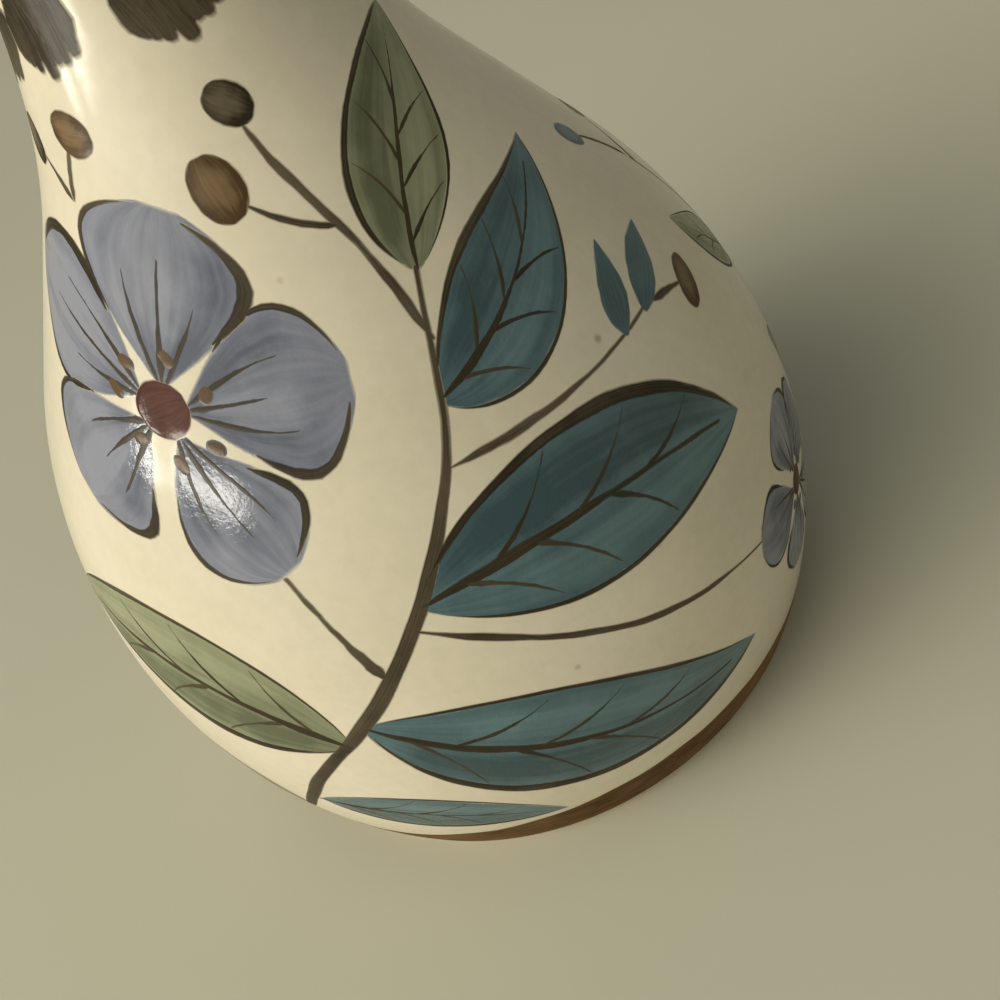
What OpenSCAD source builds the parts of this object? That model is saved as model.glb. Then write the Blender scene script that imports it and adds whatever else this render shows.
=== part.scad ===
/* [Body] */
// Greatest outside radius, at the belly
belly_r = 50; // [45:1:60]
// Height of the widest point above the table
belly_z = 29; // [26:1:32]
// Radius of the long arc that draws the belly in section
belly_arc = 70; // [64:1:76]
// Lean of the straight flank from the vertical, in degrees
flank_lean = 38; // [36:1:40]
// Height where the straight flank turns into the neck's curve
flank_z = 86; // [82:1:88]
// Thickness of the wall
wall = 4; // [3.5:0.25:4.5]

/* [Neck] */
// Outside radius of the straight neck
neck_r = 12; // [11:0.5:13]
// Length of the straight neck, which is the throat inside
neck_len = 8; // [6:1:12]
// Radius of the arc that flares the lip
flare_arc = 14; // [12:1:18]
// Angle through which the lip flares
flare_angle = 50; // [40:1:55]
// Radius of the rolled bead on the lip
bead_r = 2.4; // [2.2:0.1:2.6]

/* [Foot] */
// Height of the bare turned ring under the vase
ring_h = 2.5; // [2:0.5:3]
// How far the ring stands in from the wall's lower edge
ring_inset = 1.2; // [0.8:0.2:2]
// Width of the ring's resting face
ring_w = 8; // [6:0.5:10]
// Thickness of the floor
floor_t = 5.5; // [5:0.5:7]
// Depth of the rebate that holds the floor in the wall
rebate = 2; // [1.5:0.25:2.5]

/* [Luted seams] */
// Height of the seam between the belly and the shoulder
belly_seam = 52; // [48:1:58]
// Height of the seam between the shoulder and the neck
neck_seam = 94; // [90:1:96]
// Height of the half lap at each seam
lap = 3; // [2:0.5:4]

/* [Brown slip] */
// Thickness of the slip laid on the wall
slip_t = 0.3; // [0.2:0.05:0.4]
// Height of the band round the foot
band_h = 9; // [6:0.5:12]
// Number of dabs round the base of the neck
dab_count = 8; // [6:1:9]
// Radius of the larger dabs
dab_r = 3.2; // [2.6:0.2:3.6]
// Height of the middle of the dabs
dab_z = 104; // [100:1:106]

/* [Hidden] */
$fn = 240;

// Section of the body: centre of the belly arc, end of the flank, and the neck's arc tangent to both
belly_cx = belly_r - belly_arc;
flank_end_z = belly_z + belly_arc * sin(flank_lean);
flank_end_r = belly_cx + belly_arc * cos(flank_lean);
flank_r = flank_end_r - (flank_z - flank_end_z) * tan(flank_lean);
neck_arc = (flank_r - neck_r) / (1 - cos(flank_lean));
neck_z = flank_z + neck_arc * sin(flank_lean);
neck_top = neck_z + neck_len;
reach = 3 * belly_r;
floor_top = ring_h + floor_t;

cream = [0.80, 0.72, 0.60];
bare_clay = [0.66, 0.52, 0.38];
iron_brown = [0.27, 0.16, 0.10];

// Outside radius on the belly arc and on the neck arc, at a depth t under the surface
function belly_r_at(z, t = 0) = belly_cx + sqrt(pow(belly_arc - t, 2) - pow(z - belly_z, 2));
function neck_r_at(z, t = 0) = neck_r + neck_arc - sqrt(pow(neck_arc + t, 2) - pow(z - neck_z, 2));

// Half section of the body, up to the top of the straight neck, t below the surface
module half_section(t) {
    arc_z = belly_z + (belly_arc - t) * sin(flank_lean);
    arc_r = belly_cx + (belly_arc - t) * cos(flank_lean);
    turn_z = flank_z - t * sin(flank_lean);
    turn_r = flank_r - t * cos(flank_lean);
    intersection() {
        translate([belly_cx, belly_z]) circle(belly_arc - t);
        square([reach, arc_z]);
    }
    polygon([[0, arc_z], [arc_r, arc_z], [turn_r, turn_z], [0, turn_z]]);
    difference() {
        translate([0, turn_z]) square([turn_r, neck_z - turn_z]);
        translate([neck_r + neck_arc, neck_z]) circle(neck_arc + t);
    }
    translate([0, neck_z]) square([neck_r - t, neck_len]);
}

// Half section of the wall alone
module wall_section() {
    difference() {
        half_section(0);
        half_section(wall);
    }
}

// Everything below a seam, with the half lap that stands up on the inner side of the wall
module below_seam(z, lap_r) {
    square([reach, z]);
    square([lap_r, z + lap]);
}

module below_belly_seam() {
    mid_z = belly_seam + lap / 2;
    below_seam(belly_seam, (belly_r_at(mid_z) + belly_r_at(mid_z, wall)) / 2);
}

module below_neck_seam() {
    mid_z = neck_seam + lap / 2;
    below_seam(neck_seam, (neck_r_at(mid_z) + neck_r_at(mid_z, wall)) / 2);
}

// Half section of the floor, with the flange that seats in the wall's rebate
module floor_section() {
    difference() {
        intersection() {
            half_section(wall);
            square([reach, floor_top]);
        }
        square([reach, ring_h]);
    }
    translate([0, ring_h]) square([belly_r_at(ring_h, wall) + rebate, floor_t / 2]);
}

// Half section of a coat of slip between two heights
module slip_section(low, high) {
    intersection() {
        difference() {
            half_section(-slip_t);
            half_section(0);
        }
        translate([0, low]) square([reach, high - low]);
    }
}

// Half section of the flared lip: a bent strip of wall that ends in a rolled bead
module lip_section() {
    translate([neck_r + flare_arc, neck_top]) {
        intersection() {
            difference() {
                circle(flare_arc + wall);
                circle(flare_arc);
            }
            polygon([[0, 0], [-reach, 0], [-reach * cos(flare_angle), reach * sin(flare_angle)]]);
        }
        rotate(180 - flare_angle) translate([flare_arc + wall / 2, 0]) circle(bead_r);
    }
}

// One dab of a loaded brush, seen from outside: a broad blot and two lesser ones beside it
module dab_outline(r) {
    circle(r);
    translate([r * 0.6, r * 0.7]) circle(r * 0.7);
    translate([r * 0.5, -r * 0.8]) circle(r * 0.6);
}

module foot_ring() {
    outer_r = belly_r_at(ring_h) - ring_inset;
    color(bare_clay) rotate_extrude() translate([outer_r - ring_w, 0]) square([ring_w, ring_h]);
}

module base_disc() {
    color(bare_clay) rotate_extrude() floor_section();
}

module belly_wall() {
    color(cream) rotate_extrude() difference() {
        intersection() {
            wall_section();
            below_belly_seam();
        }
        square([reach, ring_h]);
        floor_section();
    }
}

module shoulder_wall() {
    color(cream) rotate_extrude() difference() {
        intersection() {
            wall_section();
            below_neck_seam();
        }
        below_belly_seam();
    }
}

module neck_lip() {
    color(cream) rotate_extrude() {
        difference() {
            wall_section();
            below_neck_seam();
        }
        lip_section();
    }
}

module foot_band() {
    color(iron_brown) rotate_extrude() slip_section(ring_h, ring_h + band_h);
}

module neck_dabs() {
    color(iron_brown) intersection() {
        rotate_extrude() slip_section(dab_z - 3 * dab_r, dab_z + 3 * dab_r);
        for (i = [0 : dab_count - 1]) {
            size = dab_r * (i % 2 == 0 ? 1 : 0.75);
            rotate(i * 360 / dab_count) translate([0, 0, dab_z])
                rotate([90, 0, 90]) linear_extrude(belly_r) rotate(90) dab_outline(size);
        }
    }
}

foot_ring();
base_disc();
belly_wall();
shoulder_wall();
neck_lip();
foot_band();
neck_dabs();
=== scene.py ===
"""Bud vase: a turned, luted and glazed stoneware body with brushed slips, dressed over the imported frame."""

import math
import random
from typing import NamedTuple

import bpy
from mathutils import Matrix, Vector


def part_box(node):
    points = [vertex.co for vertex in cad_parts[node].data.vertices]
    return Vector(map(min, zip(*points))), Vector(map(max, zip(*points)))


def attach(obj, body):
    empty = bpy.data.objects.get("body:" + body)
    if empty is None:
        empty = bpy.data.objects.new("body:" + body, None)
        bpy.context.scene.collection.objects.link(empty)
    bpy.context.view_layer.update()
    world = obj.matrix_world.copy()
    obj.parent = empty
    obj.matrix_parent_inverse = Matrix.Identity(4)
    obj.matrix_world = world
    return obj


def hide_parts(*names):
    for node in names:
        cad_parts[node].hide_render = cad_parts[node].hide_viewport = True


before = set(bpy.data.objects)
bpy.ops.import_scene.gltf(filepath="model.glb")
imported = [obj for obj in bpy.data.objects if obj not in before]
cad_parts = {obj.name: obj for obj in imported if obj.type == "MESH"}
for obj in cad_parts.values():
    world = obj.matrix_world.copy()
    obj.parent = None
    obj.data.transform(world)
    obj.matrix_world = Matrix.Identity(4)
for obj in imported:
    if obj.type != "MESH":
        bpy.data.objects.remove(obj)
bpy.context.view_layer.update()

bl_info = {
    "name": "Bud Vase",
    "version": (1, 0, 0),
    "blender": (4, 5, 0),
    "location": "View3D > Sidebar > Bud Vase",
    "description": "Builds a turned bud vase with a brushed foot band, neck dabs and a painted spray",
    "category": "Object",
}

MM = 0.001
BODY = "root"

# Where the main painted group stands round the axis
FRONT = math.radians(-105.0)

# Paint heights above the wall, in millimetres, and how deep the paint reaches into it
WASH_LIFT = 0.009
LINE_LIFT = 0.025
DAB_LIFT = 0.03
DOT_LIFT = 0.036
BAND_LIFT = 0.06
EDGE_DIP = 0.004
PAINT_DEPTH = 0.12

# How dark a fully loaded brush lays a slip, and the colour under a stroke on the bare ground
LOADED = 0.52
BARE = (0.0, 0.0, 0.0, 0.0)

# Edges sharper than these stay sharp in the shading of the clay and of the paint
CLAY_EDGE = math.radians(35.0)
PAINT_EDGE = math.radians(30.0)


class Slip(NamedTuple):
    """How a brushed slip lies under the glaze."""

    relief: float
    thin_when_dry: float
    rim_shade: float
    dry_shade: float
    glaze: float
    haze: float


SLIPS = {
    "teal": Slip(0.45, 0.05, 0.75, 1.22, 0.90, 0.08),
    "sage": Slip(0.10, 0.14, 1.20, 1.15, 0.60, 0.16),
    "lavender": Slip(0.24, 0.14, 1.12, 1.15, 0.90, 0.08),
    "umber": Slip(0.12, 0.10, 0.70, 1.50, 0.35, 0.26),
    "rust": Slip(0.15, 0.08, 0.60, 1.30, 0.50, 0.22),
    "maroon": Slip(0.08, 0.06, 0.70, 1.30, 0.45, 0.10),
    "brown": Slip(0.15, 0.06, 0.80, 1.35, 0.06, 0.24),
}

PAINT_NAMES = {
    "teal": "painted_long_leaves",
    "sage": "painted_broad_leaves",
    "lavender": "painted_petals",
    "umber": "painted_stems_and_lines",
    "rust": "painted_berries",
    "maroon": "painted_blossom_hearts",
}


# Values a user may change


def length(label, text, value):
    return bpy.props.FloatProperty(
        name=label, description=text, default=value, min=0.0, precision=4, subtype="DISTANCE", unit="LENGTH"
    )


def angle(label, text, degrees):
    return bpy.props.FloatProperty(
        name=label, description=text, default=math.radians(degrees), subtype="ANGLE", unit="ROTATION"
    )


def number(label, text, value, low, high):
    return bpy.props.IntProperty(name=label, description=text, default=value, min=low, max=high)


def colour(label, text, value):
    return bpy.props.FloatVectorProperty(
        name=label, description=text, default=value, size=3, min=0.0, max=1.0, subtype="COLOR"
    )


class BudVaseSizes(bpy.types.PropertyGroup):
    """Sizes of the vase, in metres."""

    belly_radius: length("Belly radius", "Greatest outside radius", round(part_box("belly_wall")[1][0], 3))
    belly_height: length("Belly height", "Height of the widest point above the table", 0.029)
    belly_arc: length("Belly arc", "Radius of the long arc that draws the belly in section", 0.070)
    flank_lean: angle("Flank lean", "Lean of the straight flank from the vertical", 38.0)
    flank_height: length("Flank height", "Height where the flank turns into the neck's curve", 0.086)
    wall: length("Wall", "Thickness of the wall", 0.004)
    neck_radius: length("Neck radius", "Outside radius of the straight neck", 0.012)
    neck_length: length("Neck length", "Length of the straight neck", 0.008)
    flare_arc: length("Flare arc", "Radius of the arc that flares the lip", 0.014)
    flare_angle: angle("Flare angle", "Angle through which the lip flares", 50.0)
    bead_radius: length("Bead radius", "Radius of the rolled bead on the lip", 0.0024)
    ring_height: length("Ring height", "Height of the bare ring", round(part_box("foot_ring")[1][2], 4))
    ring_inset: length("Ring inset", "How far the ring stands in from the wall's lower edge", 0.0012)
    ring_width: length("Ring width", "Width of the ring's resting face", 0.008)
    floor_thickness: length("Floor thickness", "Thickness of the floor", 0.0055)
    rebate: length("Rebate", "Depth of the rebate that holds the floor in the wall", 0.002)
    belly_seam: length("Belly seam", "Height of the seam between belly and shoulder", 0.052)
    neck_seam: length("Neck seam", "Height of the seam between shoulder and neck", 0.094)
    lap: length("Lap", "Height of the half lap at each seam", 0.003)
    band_height: length("Band height", "Height of the brushed band round the foot", 0.009)
    dab_height: length("Dab height", "Height of the middle of the neck dabs", 0.104)
    dab_radius: length("Dab radius", "Radius of the larger neck dabs", 0.0032)
    dab_count: number("Dab count", "Number of dabs round the base of the neck", 8, 3, 12)
    segments: number("Segments", "Steps round the axis of every turned piece", 288, 48, 512)


class BudVaseColours(bpy.types.PropertyGroup):
    """Colours of the clay, the glaze and the slips."""

    cream: colour("Cream glaze", "Ground of the whole body", (0.66, 0.585, 0.460))
    clay: colour("Bare clay", "Unglazed foot", (0.42, 0.31, 0.20))
    brown: colour("Brown slip", "Band round the foot", (0.142, 0.075, 0.030))
    umber: colour("Umber slip", "Neck dabs, stems and brush lines", (0.050, 0.035, 0.017))
    teal: colour("Teal slip", "Long leaves of the spray", (0.062, 0.128, 0.150))
    sage: colour("Sage slip", "Broad leaves of the spray", (0.190, 0.208, 0.116))
    lavender: colour("Lavender slip", "Petals of the blossoms", (0.152, 0.168, 0.238))
    rust: colour("Rust slip", "Berries and stamens", (0.118, 0.063, 0.021))
    maroon: colour("Maroon slip", "Hearts of the blossoms", (0.072, 0.013, 0.009))


def sizes():
    return bpy.context.scene.bud_vase_sizes


def colours():
    return bpy.context.scene.bud_vase_colours


# Nodes and meshes


def add(tree, kind, values=None, **settings):
    """Adds a node, sets its options, and links or fills its inputs by name or index."""
    made = tree.nodes.new(kind)
    for key, value in settings.items():
        setattr(made, key, value)
    for key, value in (values or {}).items():
        if isinstance(value, bpy.types.NodeSocket):
            tree.links.new(value, made.inputs[key])
        else:
            made.inputs[key].default_value = value
    return made


def maths(tree, operation, first, second=0.0, **settings):
    return add(tree, "ShaderNodeMath", {0: first, 1: second}, operation=operation, **settings).outputs[0]


def mixed(tree, share, low, high, blend_type="MIX"):
    """A colour between two others."""
    values = {0: share, 6: low, 7: high}
    return add(tree, "ShaderNodeMix", values, data_type="RGBA", blend_type=blend_type).outputs[2]


def spread(tree, source, low, high, to_low=0.0, to_high=1.0):
    """Stretches one range of a value over another."""
    values = {"Value": source, "From Min": low, "From Max": high, "To Min": to_low, "To Max": to_high}
    return add(tree, "ShaderNodeMapRange", values).outputs[0]


def noise(tree, spot, scale, detail, roughness=0.5):
    values = {"Vector": spot, "Scale": scale, "Detail": detail, "Roughness": roughness}
    return add(tree, "ShaderNodeTexNoise", values).outputs[0]


def object_spot(tree):
    return add(tree, "ShaderNodeTexCoord").outputs["Object"]


def opaque(base, shade=1.0):
    return (*(base * shade), 1.0)


def turned(tree, vector, turn):
    """A point turned about the vertical axis."""
    values = {"Vector": vector, "Angle": turn}
    return add(tree, "ShaderNodeVectorRotate", values, rotation_type="Z_AXIS").outputs[0]


def shape_tree(name, sockets):
    """A Geometry Nodes tree with the named inputs and one geometry output."""
    tree = bpy.data.node_groups.new(name, "GeometryNodeTree")
    for label, kind in sockets.items():
        tree.interface.new_socket(name=label, in_out="INPUT", socket_type="NodeSocket" + kind)
    tree.interface.new_socket(name="Geometry", in_out="OUTPUT", socket_type="NodeSocketGeometry")
    return tree, tree.nodes.new("NodeGroupInput").outputs


def finish_tree(tree, geometry, finish):
    """Every tree ends in plain geometry with its finish."""
    real = add(tree, "GeometryNodeRealizeInstances", {"Geometry": geometry})
    done = add(tree, "GeometryNodeSetMaterial", {"Geometry": real.outputs[0], "Material": finish})
    tree.links.new(done.outputs[0], tree.nodes.new("NodeGroupOutput").inputs[0])


def run_tree(obj, tree, values):
    """Runs the tree on obj with the given inputs and leaves a plain mesh."""
    modifier = obj.modifiers.new(tree.name, "NODES")
    modifier.node_group = tree
    for item in tree.interface.items_tree:
        if item.in_out == "INPUT" and item.name in values:
            modifier[item.identifier] = values[item.name]
    graph = bpy.context.evaluated_depsgraph_get()
    mesh = bpy.data.meshes.new_from_object(
        obj.evaluated_get(graph), preserve_all_data_layers=True, depsgraph=graph
    )
    obj.modifiers.clear()
    flat = obj.data
    obj.data = mesh
    bpy.data.meshes.remove(flat)
    mesh.name = obj.name
    if not mesh.polygons:
        raise RuntimeError(f"{obj.name} came out empty")
    return mesh


def place(name, data):
    obj = bpy.data.objects.new(name, data)
    bpy.context.scene.collection.objects.link(obj)
    return obj


def shade(mesh, sharp):
    """Shades a mesh smoothly, apart from edges sharper than an angle."""
    mesh.shade_smooth()
    mesh.set_sharp_from_angle(angle=sharp)


def smooth_step(value):
    value = min(max(value, 0.0), 1.0)
    return value * value * (3.0 - 2.0 * value)


def heading(turn):
    return Vector((math.cos(turn), math.sin(turn)))


# The outline of the wall


class Outline:
    """The outside of the wall in section, by distance up the wall from its lower edge."""

    def __init__(self, s):
        self.wall = s.wall
        lean = s.flank_lean
        belly_cx = s.belly_radius - s.belly_arc
        start = math.asin((s.ring_height - s.belly_height) / s.belly_arc)
        arc_r = belly_cx + s.belly_arc * math.cos(lean)
        arc_z = s.belly_height + s.belly_arc * math.sin(lean)
        turn_r = arc_r - (s.flank_height - arc_z) * math.tan(lean)
        neck_arc = (turn_r - s.neck_radius) / (1.0 - math.cos(lean))
        neck_z = s.flank_height + neck_arc * math.sin(lean)
        self.flare_centre = (s.neck_radius + s.flare_arc, neck_z + s.neck_length)
        self.belly = (belly_cx, s.belly_height, s.belly_arc, start)
        self.flank = (arc_r, arc_z, lean)
        self.neck = (s.neck_radius + neck_arc, neck_z, neck_arc)
        self.neck_radius = s.neck_radius
        self.spans = [
            s.belly_arc * (lean - start),
            (s.flank_height - arc_z) / math.cos(lean),
            neck_arc * lean,
            s.neck_length,
        ]
        self.top = sum(self.spans)

    def at(self, distance):
        """(radius, height, outward part of the normal, upward part of the normal)"""
        belly, flank, neck, _ = self.spans
        if distance <= belly:
            cx, cz, arc, start = self.belly
            turn = start + distance / arc
            return cx + arc * math.cos(turn), cz + arc * math.sin(turn), math.cos(turn), math.sin(turn)
        distance -= belly
        arc_r, arc_z, lean = self.flank
        if distance <= flank:
            across = distance * math.sin(lean)
            return arc_r - across, arc_z + distance * math.cos(lean), math.cos(lean), math.sin(lean)
        distance -= flank
        cx, cz, arc = self.neck
        if distance <= neck:
            turn = lean - distance / arc
            return cx - arc * math.cos(turn), cz - arc * math.sin(turn), math.cos(turn), math.sin(turn)
        return self.neck_radius, cz + distance - neck, 1.0, 0.0

    def under(self, distance, depth):
        """(radius, height) at a depth below the outside."""
        r, z, out, up = self.at(distance)
        return r - depth * out, z - depth * up

    def find(self, height, depth=0.0):
        """Distance up the wall at which the surface at that depth reaches a height."""
        low, high = 0.0, self.top
        for _ in range(60):
            middle = (low + high) / 2.0
            if self.under(middle, depth)[1] < height:
                low = middle
            else:
                high = middle
        return (low + high) / 2.0

    def run(self, low, high, step, depth=0.0):
        """Points from low to high, with close steps at both ends so that neighbours shade alike."""
        count = max(2, math.ceil(abs(high - low) / step))
        close = math.copysign(0.05 * MM, high - low)
        stops = [low, low + close]
        stops += [low + (high - low) * k / count for k in range(1, count)]
        stops += [high - close, high]
        return [self.under(stop, depth) for stop in stops]

    def seam(self, height, lap):
        """Where a half lap meets the outside and the inside, and its upright face midway through the wall."""
        middle = height + lap / 2.0
        outer = self.under(self.find(middle), 0.0)[0]
        inner = self.under(self.find(middle, self.wall), self.wall)[0]
        radius = (outer + inner) / 2.0
        face = [(radius, height), (radius, height + lap)]
        return self.find(height), self.find(height + lap, self.wall), face


def arc_points(centre, radius, start, end, steps):
    """Points on an arc of the section, from one angle to another."""
    turns = [start + (end - start) * k / steps for k in range(steps + 1)]
    return [(centre[0] + radius * math.cos(t), centre[1] + radius * math.sin(t)) for t in turns]


# Turned pieces


def turning_tree():
    """Turns a closed section about the vertical axis into a solid of revolution."""
    name = "turn_on_wheel"
    if name in bpy.data.node_groups:
        return bpy.data.node_groups[name]
    tree, given = shape_tree(
        name, {"Section": "Geometry", "Points": "Int", "Segments": "Int", "Finish": "Material"}
    )
    columns = maths(tree, "ADD", given["Points"], 1.0)
    rows = maths(tree, "ADD", given["Segments"], 1.0)
    sheet = add(tree, "GeometryNodeMeshGrid", {"Vertices X": columns, "Vertices Y": rows})
    index = add(tree, "GeometryNodeInputIndex").outputs[0]
    nudged = maths(tree, "ADD", maths(tree, "DIVIDE", index, rows), 0.0001)
    point = maths(tree, "MODULO", maths(tree, "FLOOR", nudged), given["Points"])
    share = maths(tree, "DIVIDE", maths(tree, "MODULO", index, rows), given["Segments"])
    position = add(tree, "GeometryNodeInputPosition")
    sample = add(
        tree,
        "GeometryNodeSampleIndex",
        {"Geometry": given["Section"], "Value": position.outputs[0], "Index": point},
        data_type="FLOAT_VECTOR",
        domain="POINT",
    )
    spun = turned(tree, sample.outputs[0], maths(tree, "MULTIPLY", share, math.tau))
    moved = add(tree, "GeometryNodeSetPosition", {"Geometry": sheet.outputs["Mesh"], "Position": spun})
    closed = add(tree, "GeometryNodeMergeByDistance", {"Geometry": moved.outputs[0], "Distance": 1e-6})
    finish_tree(tree, closed.outputs[0], given["Finish"])
    return tree


def turned_piece(name, section, finish):
    """One closed ring of clay from its section, a loop of (radius, height) points run anticlockwise."""
    nearest = 2e-6
    points = []
    for point in section:
        if not points or math.dist(point, points[-1]) > nearest:
            points.append(point)
    if math.dist(points[0], points[-1]) < nearest:
        points.pop()
    mesh = bpy.data.meshes.new(name)
    mesh.from_pydata([(r, 0.0, z) for r, z in points], [], [])
    obj = place(name, mesh)
    values = {"Points": len(points), "Segments": sizes().segments, "Finish": finish}
    shade(run_tree(obj, turning_tree(), values), CLAY_EDGE)
    return obj


# Paint laid on the wall


def wrap(tree, geometry, path):
    """Lays flat paint on the wall: x runs round, y runs up the wall, z stands off it."""
    position = add(tree, "GeometryNodeInputPosition")
    flat = add(tree, "ShaderNodeSeparateXYZ", {0: position.outputs[0]})
    curve = add(tree, "GeometryNodeObjectInfo", {"Object": path}, transform_space="ORIGINAL")
    sample = add(
        tree,
        "GeometryNodeSampleCurve",
        {"Curves": curve.outputs["Geometry"], "Length": flat.outputs["Y"]},
        mode="LENGTH",
    )
    spot = sample.outputs["Position"]
    rim = add(tree, "ShaderNodeSeparateXYZ", {0: spot})
    along = add(tree, "ShaderNodeSeparateXYZ", {0: sample.outputs["Tangent"]})
    upward = maths(tree, "MULTIPLY", along.outputs["X"], -1.0)
    normal = add(tree, "ShaderNodeCombineXYZ", {"X": along.outputs["Z"], "Z": upward})
    lift = {0: normal.outputs[0], "Scale": flat.outputs["Z"]}
    stand = add(tree, "ShaderNodeVectorMath", lift, operation="SCALE")
    raised = add(tree, "ShaderNodeVectorMath", {0: spot, 1: stand.outputs[0]}, operation="ADD")
    anchor = add(tree, "GeometryNodeInputNamedAttribute", {"Name": "anchor_angle"}, data_type="FLOAT")
    sweep = maths(tree, "DIVIDE", flat.outputs["X"], rim.outputs["X"])
    turn = maths(tree, "ADD", sweep, anchor.outputs["Attribute"])
    placed = turned(tree, raised.outputs[0], turn)
    return add(tree, "GeometryNodeSetPosition", {"Geometry": geometry, "Position": placed}).outputs[0]


def painting_tree():
    """Lays strokes that are drawn flat on the wall."""
    name = "paint_on_wall"
    if name in bpy.data.node_groups:
        return bpy.data.node_groups[name]
    tree, given = shape_tree(name, {"Strokes": "Geometry", "Wall Path": "Object", "Finish": "Material"})
    finish_tree(tree, wrap(tree, given["Strokes"], given["Wall Path"]), given["Finish"])
    return tree


def dabbing_tree():
    """Repeats one dab round the neck, each a little turned, sized and shifted, and lays them on the wall."""
    tree, given = shape_tree(
        "dab_round_neck",
        {
            "Dab": "Geometry",
            "Wall Path": "Object",
            "Count": "Int",
            "Distance": "Float",
            "Shift": "Float",
            "Turn": "Float",
            "Stray": "Float",
            "Seed": "Int",
            "Finish": "Material",
        },
    )
    index = add(tree, "GeometryNodeInputIndex").outputs[0]

    def vary(low, high, extra):
        seed = maths(tree, "ADD", given["Seed"], extra)
        values = {2: low, 3: high, "ID": index, "Seed": seed}
        return add(tree, "FunctionNodeRandomValue", values, data_type="FLOAT").outputs[1]

    def either_way(name, extra):
        return vary(maths(tree, "MULTIPLY", given[name], -1.0), given[name], extra)

    up = maths(tree, "ADD", given["Distance"], either_way("Shift", 1.0))
    spot = add(tree, "ShaderNodeCombineXYZ", {"Y": up})
    spots = add(tree, "GeometryNodePoints", {"Count": given["Count"], "Position": spot.outputs[0]})
    share = maths(tree, "DIVIDE", maths(tree, "ADD", index, either_way("Stray", 2.0)), given["Count"])
    anchored = add(
        tree,
        "GeometryNodeStoreNamedAttribute",
        {
            "Geometry": spots.outputs[0],
            "Name": "anchor_angle",
            "Value": maths(tree, "MULTIPLY", share, math.tau),
        },
        data_type="FLOAT",
        domain="POINT",
    )
    lean = add(tree, "ShaderNodeCombineXYZ", {"Z": either_way("Turn", 3.0)})
    wide, tall = vary(0.82, 1.12, 4.0), vary(0.9, 1.15, 5.0)
    size = add(tree, "ShaderNodeCombineXYZ", {"X": wide, "Y": tall, "Z": 1.0})
    dabs = add(
        tree,
        "GeometryNodeInstanceOnPoints",
        {
            "Points": anchored.outputs[0],
            "Instance": given["Dab"],
            "Rotation": lean.outputs[0],
            "Scale": size.outputs[0],
        },
    )
    real = add(tree, "GeometryNodeRealizeInstances", {"Geometry": dabs.outputs[0]})
    finish_tree(tree, wrap(tree, real.outputs[0], given["Wall Path"]), given["Finish"])
    return tree


def wall_path(outline):
    """The outline as a curve that the paint is laid along; it is removed when the paint is dry."""
    data = bpy.data.curves.new("wall_path", "CURVE")
    data.dimensions = "3D"
    spline = data.splines.new("POLY")
    steps = 600
    spline.points.add(steps)
    for k in range(steps + 1):
        r, z, _, _ = outline.at(outline.top * k / steps)
        spline.points[k].co = (r, 0.0, z, 1.0)
    return place("wall_path", data)


def drop(path):
    """Removes the wall's curve."""
    data = path.data
    bpy.data.objects.remove(path)
    bpy.data.curves.remove(data)


def ripple(t, seed):
    """An uneven wave between about -1 and 1, for the hand's unsteadiness."""
    slow = math.sin(9.0 * t + seed * 2.1) * 0.45
    middle = math.sin(31.0 * t + seed * 5.7) * 0.30
    return slow + middle + math.sin(83.0 * t + seed * 1.3) * 0.10


def run_length(spots):
    """Length of a line of points up to each of them."""
    reach = [0.0]
    for here, there in zip(spots, spots[1:]):
        reach.append(reach[-1] + (there - here).length)
    return reach


def even_stops(spine, steps, rows_per_mm=1.2):
    """Values of t, at least as many as asked, that step evenly along a stroke and close up at its ends."""
    fine = 120
    reach = run_length([Vector(spine(k / fine)) for k in range(fine + 1)])
    steps = max(steps, math.ceil(rows_per_mm * reach[-1]))
    stops = [0.0]
    k = 0
    for step in range(1, steps):
        goal = reach[-1] * (1.0 - math.cos(math.pi * step / steps)) / 2.0
        while reach[k + 1] < goal:
            k += 1
        stops.append((k + (goal - reach[k]) / (reach[k + 1] - reach[k])) / fine)
    return stops + [1.0]


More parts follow.
